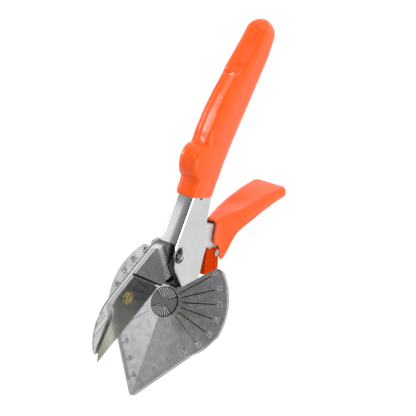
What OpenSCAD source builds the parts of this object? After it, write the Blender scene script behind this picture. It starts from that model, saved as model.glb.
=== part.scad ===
// Mitre shears: a folded steel lever with a ground blade closes on a protractor anvil.
// The origin is the centre of the anvil disc's top face. +X runs to the front tip,
// +Z is up, and the blade comes down along the X axis. The shears stand open.

/* [Base casting] */
// Radius of the protractor wings
wing_r = 37; // [35:0.5:39]
// Distance from the disc centre to each straight front edge
front_edge_off = 33.8; // [32.5:0.1:34.5]
// Angle between the centre line and the normal of a front edge
front_edge_angle = 52.4; // [50:0.2:55]
// Radius of the front tip
tip_r = 1.8; // [1:0.1:3]
// Distance from the disc centre to each rear edge
rear_edge_off = 2.6; // [2:0.1:3.5]
// Radius of the rear wing corners
corner_r = 3; // [2:0.25:4]
// Fall of each wing from the ridge, in degrees
wing_slope = 4.5; // [3:0.25:6]
// Thickness of a wing at its rim
rim_t = 3; // [2.5:0.1:4]
// Width of the engraved angle lines
line_w = 0.6; // [0.4:0.05:0.8]
// Depth of the engraved angle lines
line_depth = 0.35; // [0.2:0.05:0.5]
// Inner end of the angle lines
line_r0 = 10.8; // [10.4:0.1:12]
// Outer end of the angle lines
line_r1 = 30.5; // [28:0.5:31]
// Depth of the keel below the plate
keel_d = 10.8; // [9.5:0.1:12]
// Reach of the keel ahead of the disc centre
keel_front = 8; // [7.5:0.5:11]
// Reach of the keel behind the disc centre
keel_rear = 20; // [17:0.5:21]
// Thickness of the two cheeks that rise beside the pivot
cheek_t = 1; // [0.8:0.05:1.05]
// Reach of the cheeks round the pivot
cheek_r = 8.6; // [8:0.1:9]

/* [Anvil disc] */
// Radius of the disc
disc_r = 8; // [7.5:0.1:8.3]
// Thickness of the disc
disc_t = 3.6; // [3:0.1:4]
// Gap round the disc
disc_gap = 0.25; // [0.15:0.05:0.4]
// Metal behind the disc
disc_wall = 2.2; // [1.8:0.1:2.6]
// Grooves in each fan
groove_n = 11; // [7:1:13]
// Spread of each fan, in degrees
groove_spread = 104; // [80:2:120]
// Width of a groove at the rim
groove_w = 0.9; // [0.6:0.05:1]
// Depth of a groove
groove_d = 0.7; // [0.4:0.05:1]
// Radius of the plain centre
groove_r0 = 2.6; // [2.2:0.1:3]
// Radius of the anvil screw
anvil_screw_r = 1.75; // [1.5:0.05:2]
// Radius of the anvil screw's head
anvil_head_r = 3; // [2.8:0.1:3.3]

/* [Upper lever] */
// Outside width of the channel
channel_w = 12; // [11.6:0.1:13]
// Thickness of the sheet
sheet_t = 1.5; // [1.2:0.05:1.6]
// Height of the web's outer face above the anvil
web_z = 18; // [17.6:0.1:18.4]
// Front end of the web, behind the disc centre
web_front = 31; // [30.8:0.1:32]
// Radius of the outer bends
bend_r = 2.6; // [2:0.1:3]
// Bend of the handle, behind the disc centre
handle_bend_x = 95; // [90:1:100]
// Rear end of the steel, behind the disc centre
handle_end_x = 155; // [150:1:158]
// Depth of the channel at the grip
channel_d = 16; // [15:0.25:16.5]
// Radius of the small hole under the edge of the grip
keying_hole_r = 1.3; // [0.8:0.1:1.6]

/* [Pivot] */
// Distance of the pivot behind the disc centre
pivot_back = 26.5; // [26:0.1:27]
// Height of the pivot above the anvil
pivot_z = 10.4; // [10.2:0.1:10.8]
// Angle that the blade stands open
open_angle = 34.3; // [30:0.1:34.5]
// Radius of the pivot bolt
bolt_r = 3; // [2.5:0.1:3.3]
// Radius of the bolt's dome head
bolt_head_r = 4.7; // [4.3:0.1:5.2]
// Height of the dome head
bolt_head_h = 2.6; // [2.2:0.1:3]
// Radius of the bush
bush_r = 4.5; // [4.2:0.1:4.7]
// Width of the nut across its flats
nut_af = 10; // [9:0.1:11]
// Height of the nut
nut_h = 4.5; // [4:0.1:5.5]
// Thickness of the washer under the nut
washer_t = 1; // [0.8:0.05:1.4]
// Radius of the washer
washer_r = 6.5; // [6:0.1:7]
// Running clearance of a pin in its bore
run_fit = 0.05; // [0.02:0.01:0.08]
// Clearance of a fixed pin in its hole
pin_fit = 0.02; // [0.01:0.01:0.05]

/* [Blade holder] */
// Thickness of the holder's sheet
holder_t = 1; // [0.9:0.05:1.1]
// Height of the holder's back above the pivot, with the blade closed
back_n = 16.6; // [16:0.1:17.5]
// Radius of the nose
nose_r = 23; // [22.5:0.1:24]
// Distance from the pivot to the nose's arc centre
nose_u = 52; // [51:0.25:53]
// Radius of the hub round the pivot
hub_r = 6.6; // [6.3:0.1:6.9]
// Clearance of the lever between the flanges
lever_fit = 0.2; // [0.1:0.05:0.3]
// Clearance of the blade in its slot
blade_fit = 0.05; // [0.03:0.01:0.1]
// Reach of the tang behind the pivot
tang_u = 48; // [46:0.5:50]

/* [Blade] */
// Thickness of the blade
blade_t = 1.6; // [1.4:0.1:1.8]
// Length of the cutting edge
edge_len = 59; // [57:0.5:60]
// Distance from the pivot to the heel of the edge
heel_u = 17.5; // [17.2:0.1:19]
// Gap left under the edge when closed
edge_gap = 0.3; // [0.2:0.05:0.5]
// Width of the ground bevel
bevel_w = 19.3; // [17:0.1:20.5]
// Flat left on the cutting edge
edge_flat = 0.08; // [0.05:0.01:0.15]
// Distance from the pivot to the blade screw
blade_screw_u = 41.6; // [40:0.2:44]
// Height of the blade screw above the pivot
blade_screw_n = 6.2; // [5.5:0.1:9]
// Radius of the blade screw
blade_screw_r = 2; // [1.7:0.05:2.2]
// Radius of the blade screw's head
blade_head_r = 3.2; // [2.9:0.1:3.5]
// Height of the blade screw's head
blade_head_h = 1.1; // [0.8:0.05:1.4]
// Width of the blade nut across its flats
blade_nut_af = 6.6; // [6:0.1:7]
// Height of the blade nut
blade_nut_h = 2.2; // [1.8:0.1:2.8]

/* [Lower lever] */
// Start of the lower lever's back behind the pivot, with the blade closed
lower_start_u = 38.3; // [38:0.1:39]
// Start of the lower lever's back below the pivot
lower_start_n = 10; // [9.9:0.1:10.6]
// Angle of the lower lever below the upper one when closed
lower_angle = 23.3; // [23:0.1:25]
// Length of the lower lever's back
lower_len = 65; // [63:0.5:68]
// Half width of the coat at the end
lower_w1 = 11.1; // [10.5:0.1:11.6]
// Length of the narrow front before the flare
flare_from = 7; // [6.5:0.25:9]
// Depth of the finger dip behind the front
dip_d = 1.4; // [0.8:0.1:1.6]
// Fall of the back at the end
end_fall = 2; // [1:0.1:2.4]
// Radius of the end corners
end_r = 4.5; // [3:0.25:4.5]
// Radius along the top edges
edge_r = 2.6; // [2:0.1:3.2]
// Thickness of the lower lever's sheet
lower_t = 0.9; // [0.8:0.05:1]
// Thickness of the dipped coat
coat_t = 1.35; // [1.1:0.05:1.4]
// Radius of the latch pin
latch_pin_r = 1.5; // [1.3:0.05:1.6]
// Radius of the latch pin's head
latch_head_r = 2.1; // [1.9:0.05:2.4]
// Height of the latch pin's head
latch_head_h = 0.7; // [0.5:0.05:1]
// Radius of the latch's hub
latch_hub_r = 2.7; // [2.5:0.05:2.8]
// Length of the latch
latch_len = 14.2; // [13:0.1:14.8]
// Depth of the latch below its pin
latch_depth = 7.9; // [7.4:0.1:8.6]
// Radius of the rivets
rivet_r = 2; // [1.7:0.05:2.2]
// Radius of the base rivets' heads
rivet_head_r = 3.3; // [2.9:0.1:3.6]
// Height of the base rivets' heads
rivet_head_h = 1.2; // [0.9:0.05:1.5]

/* [Upper grip] */
// Front end of the grip, behind the disc centre
grip_front = 58; // [56:0.25:59]
// Rear end of the grip, behind the disc centre
grip_end = 165.5; // [162:0.5:168]
// Height of the thumb guard
guard_h = 7.6; // [5:0.2:9]
// Place of the thumb guard, behind the disc centre
guard_x = 77.4; // [74:0.2:80]
// Length of the thumb guard
guard_len = 6.4; // [5:0.2:8]

/* [Return spring] */
// Radius of the spring wire
wire_r = 0.5; // [0.45:0.01:0.52]
// Turns of the coil
coil_turns = 2; // [1:1:3]
// Rise of the coil for each turn
coil_pitch = 1.55; // [1.5:0.01:1.58]
// Gap between the coil and the bush
coil_gap = 0.45; // [0.4:0.05:0.5]
// Reach of the rear leg along the web
rear_leg = 15; // [12:0.5:18]

/* [Hidden] */
$fn = 64;
eps = 0.01;
big = 60;

plate_h = rim_t + wing_r * tan(wing_slope);
notch_x = disc_r + disc_gap + disc_wall;
keel_z = -plate_h - keel_d;
half_out = channel_w / 2;
half_in = half_out - sheet_t;
pivot = [-pivot_back, pivot_z];
cavity_fit = 0.05;
cheek_in = half_in - cavity_fit - cheek_t;
hub_half = cheek_in - lever_fit;
slot_half = blade_t / 2 + blade_fit;
jaw_half = slot_half + holder_t;
edge_n = -(pivot_z - edge_gap);
nose_n = back_n - nose_r;
base_rivet_xz = [[-8.4, keel_z + 5.2], [4.6, keel_z + 5.6]];
latch_pin_un = [-30.6, -28.4];
latch_half = half_in - 0.3;
coil_r = bush_r + coil_gap + wire_r;

// Points of an arc about c from angle a0 to a1
function arc(c, r, a0, a1, n) = [for (i = [0:n]) c + r * [cos(a0 + (a1 - a0) * i / n), sin(a0 + (a1 - a0) * i / n)]];
// The list in the other order
function turned(list) = [for (i = [len(list) - 1:-1:0]) list[i]];
// Point where two lines meet, each given by a point and a direction
function meet(p, d, q, e) = p + d * ((q[0] - p[0]) * e[1] - (q[1] - p[1]) * e[0]) / (d[0] * e[1] - d[1] * e[0]);
// Unit vector
function unit(v) = v / norm(v);
// Left-hand normal of a 2-D vector
function left(v) = [-v[1], v[0]];
// A counter-clockwise outline moved inwards by d along every edge
function inset(pts, d) = let (n = len(pts)) [for (i = [0:n - 1])
    let (a = pts[(i + n - 1) % n], b = pts[i], c = pts[(i + 1) % n], u = unit(b - a), v = unit(c - b))
    meet(b + left(u) * d, u, b + left(v) * d, v)];

// Side view: x and y of the drawing become X and Z, from y0 to y1 across the tool
module side(y0, y1) {
    translate([0, y1, 0]) rotate([90, 0, 0]) linear_extrude(y1 - y0) children();
}
// A pin or hole along Y
module cross_pin(p, r, y0, y1) {
    translate([p[0], y0, p[1]]) rotate([-90, 0, 0]) cylinder(r = r, h = y1 - y0);
}
// From the closed lever's axes, with the pivot as origin, to the open position
module on_lever() {
    translate([pivot[0], 0, pivot[1]]) rotate([0, -open_angle, 0]) children();
}

// Base casting
tip_c = [(front_edge_off - tip_r) / cos(front_edge_angle), 0];
wing_a0 = front_edge_angle + acos(front_edge_off / wing_r);
corner_a = 225 - acos((rear_edge_off - corner_r) / (wing_r - corner_r));
corner_c = (wing_r - corner_r) * [cos(corner_a), sin(corner_a)];
half_plate = concat(arc(tip_c, tip_r, 0, front_edge_angle, 6), arc([0, 0], wing_r, wing_a0, corner_a, 18),
    arc(corner_c, corner_r, corner_a, 225, 6), [[-notch_x, notch_x - rear_edge_off * sqrt(2)]]);
plate = concat(half_plate, turned([for (p = half_plate) [p[0], -p[1]]]));
keel_side = [[keel_front, -plate_h + 1], [keel_front, keel_z + 4], [keel_front - 4, keel_z], [-keel_rear, keel_z],
    [-keel_rear, -plate_h - 2], [-notch_x - 3, -2], [-notch_x + 1, -2], [0, -plate_h + 1]];

cheek_side = concat(arc(pivot, cheek_r, 31.5, 42, 4), [[-27, pivot_z + 5.7], [-33.5, pivot_z + 1.6],
    [-33.5, pivot_z - 5.4], [-keel_rear, -plate_h - 3], [-notch_x + 0.4, -plate_h - 3], [-notch_x + 0.4, -1]]);

module roof() {
    b = wing_r + 5;
    drop = b * tan(wing_slope);
    translate([-b, 0, 0]) rotate([90, 0, 90]) linear_extrude(3 * b)
        polygon([[-b, -drop], [0, 0], [b, -drop], [b, -plate_h], [-b, -plate_h]]);
}
module angle_lines() {
    for (m = [0, 1]) mirror([0, m, 0]) rotate([-wing_slope, 0, 0]) for (a = [45:15:135]) rotate(a)
        translate([line_r0, -line_w / 2, -line_depth]) cube([line_r1 - line_r0, line_w, 2]);
}
module base_casting() color([0.66, 0.67, 0.68]) difference() {
    union() {
        intersection() {
            translate([0, 0, -plate_h - 1]) linear_extrude(plate_h + 2) polygon(plate);
            roof();
        }
        side(-half_in + cavity_fit, half_in - cavity_fit) polygon(keel_side);
        for (m = [0, 1]) mirror([0, m, 0]) side(cheek_in, half_in - cavity_fit) polygon(cheek_side);
    }
    cross_pin(pivot, bolt_r + pin_fit, -big, big);
    translate([0, 0, -disc_t]) cylinder(r = disc_r + disc_gap, h = disc_t + 1);
    translate([0, 0, keel_z - 1]) cylinder(r = anvil_screw_r + pin_fit, h = big);
    translate([0, 0, keel_z - 1]) cylinder(r = anvil_head_r + disc_gap, h = 4.5);
    for (p = base_rivet_xz) cross_pin(p, rivet_r + pin_fit, -big, big);
    angle_lines();
}

module anvil_disc() color([0.72, 0.73, 0.74]) difference() {
    translate([0, 0, -disc_t]) cylinder(r = disc_r, h = disc_t);
    translate([0, 0, -disc_t - 1]) cylinder(r = anvil_screw_r + pin_fit, h = disc_t - 0.2);
    for (f = [0, 180]) for (i = [0:groove_n - 1])
        rotate(f + groove_spread * (i / (groove_n - 1) - 0.5))
            translate([0, 0, -groove_d]) linear_extrude(2)
                polygon([[groove_r0, -groove_w / 5], [disc_r + 1, -groove_w / 2], [disc_r + 1, groove_w / 2],
                         [groove_r0, groove_w / 5]]);
}
module anvil_screw() color([0.5, 0.5, 0.52]) {
    translate([0, 0, keel_z + 0.5]) cylinder(r = anvil_head_r, h = 3);
    translate([0, 0, keel_z + 3.4]) cylinder(r = anvil_screw_r, h = -keel_z - 3.4 - 1.4);
}
module base_rivets() color([0.7, 0.71, 0.72]) for (p = base_rivet_xz) {
    cross_pin(p, rivet_r, -half_out - rivet_head_h, half_out + rivet_head_h);
    cross_pin(p, rivet_head_r, half_out, half_out + rivet_head_h);
    cross_pin(p, rivet_head_r, -half_out - rivet_head_h, -half_out);
}

// Upper lever
flange_under = -plate_h - cavity_fit;
upper_side = [[-web_front, web_z], [-handle_bend_x, web_z], [-handle_end_x, web_z - 12.5],
    [-handle_end_x, web_z - 23.5], [-handle_bend_x, web_z - channel_d], [-70, web_z - channel_d], [-62.7, -0.1],
    [-47.7, -5.5], [-36.9, -14.1], [-31.2, -14.6], [-21.8, keel_z - 0.4], [keel_front - 4, keel_z - 0.4],
    [keel_front, keel_z + 4], [keel_front, flange_under], [-notch_x - 0.2, flange_under],
    [-notch_x - 0.2, -2.5], [-notch_x - 1.7, 0.5], [-19.2, 11.9], [-24.8, 15.6]];
upper_void = [[big, big], [-web_front, big], [-web_front, web_z - sheet_t], [-handle_bend_x, web_z - sheet_t],
    [-handle_end_x - 1, web_z - 14.2], [-handle_end_x - 1, -big], [big, -big]];
// Outside of the channel across its length, grown by g
function section(g) = concat(arc([half_out - bend_r, web_z - bend_r], bend_r + g, 0, 90, 8),
    arc([bend_r - half_out, web_z - bend_r], bend_r + g, 90, 180, 8), [[-half_out - g, -big], [half_out + g, -big]]);

module upper_solid(g) {
    intersection() {
        side(-half_out - 1, half_out + 1) polygon(g > 0 ? inset(upper_side, -g) : upper_side);
        translate([-handle_end_x - 5, 0, 0]) rotate([90, 0, 90]) linear_extrude(handle_end_x + big)
            polygon(section(g));
    }
}
module upper_lever() color([0.8, 0.81, 0.83]) difference() {
    upper_solid(0);
    side(-half_in, half_in) polygon(upper_void);
    cross_pin(pivot, bolt_r + pin_fit, -big, big);
    for (p = base_rivet_xz) cross_pin(p, rivet_r + pin_fit, -big, big);
    cross_pin([-grip_front - 2.2, 10], keying_hole_r, 0, big);
}

// Upper grip: rings of a rounded rectangle along the handle, with a thumb guard on top
grip_top_keys = [[-165.5, 1.5], [-164, 4.4], [-161, 6.5], [-156, 8], [-148, 10], [-137, 13.2], [-117, 19.4],
    [-106, 22.4], [-95, 23.5], [-88, 22.2], [-68, 20], [-58, 19.4]];
grip_low_keys = [[-165.5, -1.5], [-164, -4.6], [-161, -7], [-156, -8.8], [-148, -9.1], [-119, -5.9], [-95, -2.5],
    [-81, -0.7], [-70, -0.9], [-65, -1.5], [-58, -1.6]];
grip_wide_keys = [[-165.5, 1.8], [-164, 4.6], [-161, 6.1], [-156, 7], [-145, 7.5], [-95, 7.9], [-77, 8.2], [-58, 7.7]];
grip_x = concat([for (x = [0:3.4:95]) -grip_front - x], [-grip_end + 10, -grip_end + 6, -grip_end + 3,
    -grip_end + 1.2, -grip_end]);
nest_x = 72;
grip_rake = 5;
grip_sides = 24;
// Signed power, for the rounded rectangle
function spow(v, e) = sign(v) * pow(abs(v), e);
function grip_ring(x) = let (top = lookup(x, grip_top_keys) + guard_h * exp(-pow((x + guard_x) / guard_len, 2)),
    low = lookup(x, grip_low_keys), half = lookup(x, grip_wide_keys), rake = max(0, 1 + (x + grip_front) / 14))
    [for (k = [0:grip_sides - 1]) let (a = 360 * (k + 0.5) / grip_sides, s = spow(sin(a), 0.5))
        [x - grip_rake * rake * (1 - s) / 2, half * spow(cos(a), 0.5), (top + low) / 2 + (top - low) / 2 * s]];

// A closed skin over rings of n points each, with flat ends
module skin(rings) {
    n = len(rings[0]);
    m = len(rings);
    polyhedron(points = [for (r = rings) each r], faces = concat(
        [for (i = [0:m - 2]) for (k = [0:n - 1]) each [
            [i * n + k, i * n + (k + 1) % n, (i + 1) * n + k],
            [(i + 1) * n + k, i * n + (k + 1) % n, (i + 1) * n + (k + 1) % n]]],
        [for (k = [1:n - 2]) [0, k + 1, k]],
        [for (k = [1:n - 2]) [(m - 1) * n, (m - 1) * n + k, (m - 1) * n + k + 1]]));
}
module upper_grip() color([0.95, 0.36, 0.12]) difference() {
    skin([for (x = grip_x) grip_ring(x)]);
    upper_solid(cavity_fit);
    side(-half_in, half_in) polygon([[-grip_front + 5, -big], [-grip_front + 5, 5], [-nest_x, 5], [-nest_x, -big]]);
}

// Pivot
module pivot_bolt() color([0.82, 0.83, 0.84]) translate([pivot[0], half_out, pivot[1]]) rotate([-90, 0, 0])
    rotate_extrude() polygon(let (b = 0.6, h = bolt_head_h - b, s = (bolt_head_r * bolt_head_r + h * h) / (2 * h),
        low = -2 * half_out - washer_t - nut_h - 0.8, a = acos(bolt_head_r / s))
        concat([[0, low], [bolt_r, low], [bolt_r, 0], [bolt_head_r, 0]],
            arc([0, b + h - s], s, a, 90, 10)));
module pivot_nut() color([0.6, 0.61, 0.63]) translate([pivot[0], -half_out - washer_t, pivot[1]]) rotate([90, 0, 0])
    difference() {
        cylinder(r = nut_af / 2 / cos(30), h = nut_h, $fn = 6);
        translate([0, 0, -1]) cylinder(r = bolt_r + pin_fit, h = nut_h + 2);
    }
module pivot_washer() color([0.7, 0.71, 0.73]) translate([pivot[0], -half_out, pivot[1]]) rotate([90, 0, 0])
    difference() {
        cylinder(r = washer_r, h = washer_t);
        translate([0, 0, -1]) cylinder(r = bolt_r + pin_fit, h = washer_t + 2);
    }
module pivot_bush() color([0.75, 0.62, 0.35]) difference() {
    cross_pin(pivot, bush_r, -cheek_in + pin_fit, cheek_in - pin_fit);
    cross_pin(pivot, bolt_r + pin_fit, -big, big);
}

// Return spring: a torsion coil round the bush. Its front leg bears up under the blade
// holder's back, and its rear leg lies under the upper lever's web.
coil_a0 = 90 + open_angle;
coil_a1 = 90 + 360 * coil_turns;
coil_y0 = 1.47;
coil_rings = 8;
coil_n = round((coil_a1 - coil_a0) / 360 * coil_rings);
// A point of the closed lever's axes in the open position, at y across the tool
function opened(u, n, y) = [pivot[0] + u * cos(open_angle) - n * sin(open_angle), y,
    pivot[1] + u * sin(open_angle) + n * cos(open_angle)];
function coil_point(a) = [pivot[0] + coil_r * cos(a), coil_y0 - coil_pitch * (a - coil_a0) / 360,
    pivot[1] + coil_r * sin(a)];
spring_path = concat([opened(10.9, 13.2, 0.3), opened(6.4, 6.8, 1.2), opened(5.2, 5.8, 1.38),
    opened(3.8, coil_r, coil_y0)], [for (i = [0:coil_n]) coil_point(coil_a0 + (coil_a1 - coil_a0) * i / coil_n)],
    [for (d = [3, rear_leg]) coil_point(coil_a1) - [d, 0, 0]]);
// Direction of the path at point i
function along(p, i) = let (n = len(p)) unit(p[min(i + 1, n - 1)] - p[max(i - 1, 0)]);
function tube_ring(p, i, r) = let (t = along(p, i), b = unit([0, 1, 0] - t * t[1]), c = cross(t, b))
    [for (k = [0:5]) p[i] + r * (b * cos(60 * k) + c * sin(60 * k))];
// Distance from q to the piece a to b
function to_piece(q, a, b) = let (d = b - a, t = max(0, min(1, (q - a) * d / (d * d)))) norm(q - a - d * t);
spring_gap = min([for (i = [0:len(spring_path) - 1]) for (j = [0:len(spring_path) - 2])
    if (j > i + 5 || j < i - 6) to_piece(spring_path[i], spring_path[j], spring_path[j + 1])]) - 2 * wire_r;
echo("spring least gap to itself", spring_gap);
module return_spring() color([0.55, 0.56, 0.58])
    skin([for (i = [0:len(spring_path) - 1]) turned(tube_ring(spring_path, i, wire_r))]);

// Lower lever: a point s along its back and d below it, in the closed lever's axes
lower_start = [-lower_start_u, -lower_start_n];
lower_dir = [-cos(lower_angle), -sin(lower_angle)];
lower_down = [sin(lower_angle), -cos(lower_angle)];
function low_at(s, d) = lower_start + lower_dir * s + lower_down * d;
tang_rivet_un = [low_at(5.5, 8.5), low_at(10.5, 9.5)];

// Blade holder, drawn in the closed lever's axes
nose_c = [nose_u, nose_n];
hub_a0 = 76;
hub_a1 = 160;
nose_reach = 20.5;
holder_low = -5.5;
arm_a = [-27, -4];
arm_b = low_at(1.5, 3.1);
tang_end = low_at(13, 4.4);
holder_side = concat(arc(nose_c, nose_r, 5, 90, 14), [[13, back_n], [10, back_n - 1], [3, back_n - 4.1]],
    arc([0, 0], hub_r, hub_a0, hub_a1, 8), [arm_a, arm_b, tang_end, low_at(12, 13), latch_pin_un + [-3.9, -3.6],
    latch_pin_un + [3.8, -2.8], [-19, -18.5], [-4, edge_n + 0.5], [16, edge_n + 0.5], [24, holder_low],
    [nose_u + nose_reach, holder_low]]);
holder_in = inset(holder_side, holder_t);
arm_start = holder_in[26] + (holder_in[27] - holder_in[26]) * 0.35;
tang_dir = unit(tang_end - arm_b);
fold_end = [nose_u + 2.5, back_n - holder_t];
holder_void = concat([[2 * big, big], [fold_end[0], big], fold_end, holder_in[15], holder_in[16], holder_in[17],
    [2.6, big], [arm_start[0], big], arm_start, holder_in[27], holder_in[28], holder_in[28] + tang_dir * 30,
    [-big - 20, -big], [2 * big, -big]]);
cut_u = 32.8;
cut_lean = 0.64;
front_cut = [[2 * big, big], [fold_end[0], big], fold_end, [cut_u, fold_end[1]],
    [cut_u - cut_lean * (fold_end[1] + big), -big], [2 * big, -big]];
jog_u0 = 6.5;
jog_u1 = 13.5;
rear_u0 = -8;
rear_u1 = -15;
// Half width w at u0 eased to v at u1
function eased(u0, u1, w, v) = [for (i = [0:8]) [u0 + (u1 - u0) * i / 8, v + (w - v) * (1 + cos(180 * i / 8)) / 2]];
// Outline from above of the two flanges, with half widths w at the hub and v at the blade and arm
module flange_plan(w, v, d) {
    edge = concat([[-2 * big, v]], turned(eased(rear_u0 + d, rear_u1 + d, w, v)),
        eased(jog_u0 - d, jog_u1 - d, w, v), [[2 * big, v]]);
    translate([0, 0, -big]) linear_extrude(2 * big)
        polygon(concat([for (q = edge) [q[0], -q[1]]], turned(edge)));
}
module blade_holder() color([0.78, 0.79, 0.81]) on_lever() difference() {
    intersection() {
        side(-hub_half - 1, hub_half + 1) polygon(holder_side);
        flange_plan(hub_half, jaw_half, 0);
    }
    intersection() {
        side(-hub_half - 1, hub_half + 1) polygon(holder_void);
        flange_plan(hub_half - holder_t, slot_half, 0.4);
    }
    side(0, big) polygon(front_cut);
    cross_pin([0, 0], bush_r + run_fit, -big, big);
    cross_pin([blade_screw_u, blade_screw_n], blade_screw_r + pin_fit, -big, big);
    for (p = tang_rivet_un) cross_pin(p, rivet_r + pin_fit, -big, big);
    cross_pin(latch_pin_un, latch_pin_r + pin_fit, -big, big);
}

// Blade
toe_u = heel_u + edge_len;
blade_top = back_n - holder_t - 0.2;
blade_side = [[heel_u, edge_n], [toe_u, edge_n], [toe_u - 4.2, edge_n + 6.5], [toe_u - 20, edge_n + 15.6],
    [toe_u - 21.4, edge_n + 17], [toe_u - 22.2, edge_n + 19], [toe_u - 22.5, blade_top],
    [heel_u + cut_lean * (blade_top - edge_n) + 0.5, blade_top]];
module bevel(m) {
    mirror([0, m, 0]) rotate([90, 0, 90]) linear_extrude(3 * big) polygon([[blade_t / 2, edge_n + bevel_w],
        [edge_flat / 2, edge_n], [edge_flat / 2, edge_n - 1], [blade_t, edge_n - 1], [blade_t, edge_n + bevel_w]]);
}
module blade() color([0.6, 0.62, 0.64]) on_lever() difference() {
    side(-blade_t / 2, blade_t / 2) polygon(blade_side);
    bevel(0);
    bevel(1);
    cross_pin([blade_screw_u, blade_screw_n], blade_screw_r + pin_fit, -big, big);
}
module blade_screw() color([0.8, 0.66, 0.3]) on_lever() difference() {
    union() {
        cross_pin([blade_screw_u, blade_screw_n], blade_screw_r, -jaw_half - blade_nut_h - 0.4, blade_t / 2 + 0.3);
        cross_pin([blade_screw_u, blade_screw_n], blade_head_r, blade_t / 2, blade_t / 2 + blade_head_h);
    }
    translate([blade_screw_u, blade_t / 2 + blade_head_h - 0.6, blade_screw_n]) rotate([-90, 0, 0])
        cylinder(r = 1.5, h = 2, $fn = 6);
}
module blade_nut() color([0.7, 0.71, 0.72]) on_lever() translate([blade_screw_u, -jaw_half, blade_screw_n])
    rotate([90, 0, 0]) difference() {
        cylinder(r = blade_nut_af / 2 / cos(30), h = blade_nut_h, $fn = 6);
        translate([0, 0, -1]) cylinder(r = blade_screw_r + pin_fit, h = blade_nut_h + 2);
    }

// Lower lever and its coat, drawn with x forwards from the front of the back and z up from it
module on_lower() {
    on_lever() translate([-lower_start_u, 0, -lower_start_n]) rotate([0, -lower_angle, 0]) children();
}
tang_fit = 0.1;
steel_w0 = jaw_half + tang_fit + lower_t;
steel_w1 = lower_w1 - coat_t;
web_depth = coat_t + lower_t;
dip_s = 16;
dip_len = 8;
fall_s = 40;
step_s = 5;
steel_end = lower_len - 3.5;
// Height of the back, with a finger dip and a fall at the end
function back_at(s) = -dip_d * exp(-pow((s - dip_s) / dip_len, 2))
    - end_fall * pow(max(0, s - fall_s) / (lower_len - fall_s), 2);
// Half width of the steel
function steel_half(s) = steel_w0 + (steel_w1 - steel_w0) * max(0, s - flare_from) / (lower_len - flare_from);
// Half width of the coat, rounded at the end
function coat_half(s) = let (e = max(0, s - lower_len + end_r)) steel_half(s) + coat_t - end_r + sqrt(end_r * end_r - e * e);
low_edge = [[-55, -5.8], [-46.6, -8], [-33.7, -11.6], [-21.3, -15.5], [-12.9, -22.3], [-8.2, -26.3], [-4.8, -26.3],
    [-3.6, -23], [-3.6, -18], [-1.5, -16], [2, -13], [1.8, -8.3]];
coat_end = steel_end + coat_t;
steel_side = inset(concat([for (s = [0:step_s:lower_len - step_s]) [-s, back_at(s)]],
    [[-coat_end, back_at(coat_end)], [-coat_end, -5.2]], low_edge), coat_t);
coat_side = concat([[-0.65, 3], [-lower_len - 1, 3], [-lower_len - 1, -5.2]], low_edge);
coat_s = concat([-8], [for (s = [0:step_s / 2:lower_len - end_r]) s],
    [for (a = [15:15:90]) lower_len - end_r * (1 - sin(a))]);
// Across the coat at s: a deep shape with rounded top edges
function coat_ring(s) = let (h = coat_half(s), z = back_at(s), r = min(edge_r, h - 1.5))
    concat([[-s, h, -big]], [for (q = arc([h - r, z - r], r, 0, 90, 5)) [-s, q[0], q[1]]],
        [for (q = arc([r - h, z - r], r, 90, 180, 5)) [-s, q[0], q[1]]], [[-s, -h, -big]]);
function lower_void(end) = concat([[20, -web_depth]], [for (s = [0:step_s:end]) [-s, back_at(s) - web_depth]],
    [[-end, back_at(end) - web_depth], [-end, -big], [20, -big]]);
// Outline of the flared channel on its back, with g added to the steel's half width
module lower_plan(g) {
    far = steel_half(lower_len + 20) + g;
    near = steel_w0 + g;
    translate([0, 0, -big]) linear_extrude(2 * big) polygon([[20, -near], [20, near], [-flare_from, near],
        [-lower_len - 20, far], [-lower_len - 20, -far], [-flare_from, -near]]);
}
module lower_lever() color([0.75, 0.76, 0.78]) difference() {
    on_lower() intersection() {
        side(-big, big) polygon(steel_side);
        lower_plan(0);
    }
    on_lower() intersection() {
        side(-big, big) polygon(lower_void(lower_len + 3));
        lower_plan(-lower_t);
    }
    on_lever() for (p = tang_rivet_un) cross_pin(p, rivet_r + pin_fit, -big, big);
}
module lower_grip() color([0.95, 0.36, 0.12]) on_lower() difference() {
    intersection() {
        skin([for (s = coat_s) coat_ring(s)]);
        side(-big, big) polygon(coat_side);
    }
    intersection() {
        side(-big, big) polygon(inset(steel_side, -cavity_fit));
        lower_plan(cavity_fit);
    }
    intersection() {
        side(-big, big) polygon(lower_void(steel_end));
        lower_plan(-lower_t);
    }
}
module tang_rivets() color([0.7, 0.71, 0.72]) on_lever() for (p = tang_rivet_un)
    cross_pin(p, rivet_r, -steel_w0, steel_w0);

// Lock latch: two cheeks astride the arm, joined by a thumb plate at the front
latch_low = [8.2, -latch_depth];
latch_tip = [latch_len, 4.4];
latch_wall = 3;
latch_side = concat(arc([0, 0], latch_hub_r, 100, 235, 10), [latch_low + [-2.2, 0.7], latch_low, latch_tip,
    [1.5, 10.9], [-0.6, 10.2]]);
latch_dir = unit(latch_tip - latch_low);
latch_in = latch_low + left(latch_dir) * latch_wall;
latch_slot = [latch_in - latch_dir * 20, latch_in + latch_dir * 40, [-30, 30], [-30, -25]];
module lock_latch() color([0.85, 0.25, 0.06]) on_lever() translate([latch_pin_un[0], 0, latch_pin_un[1]])
    rotate([0, open_angle, 0]) difference() {
        side(-latch_half, latch_half) polygon(latch_side);
        side(-jaw_half - 0.2, jaw_half + 0.2) polygon(latch_slot);
        cross_pin([0, 0], latch_pin_r + run_fit, -big, big);
    }
pin_half = latch_half + 0.1;
module latch_pin() color([0.8, 0.8, 0.82]) on_lever() {
    cross_pin(latch_pin_un, latch_pin_r, -pin_half, pin_half);
    cross_pin(latch_pin_un, latch_head_r, pin_half, pin_half + latch_head_h);
    cross_pin(latch_pin_un, latch_head_r, -pin_half - latch_head_h, -pin_half);
}

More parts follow.
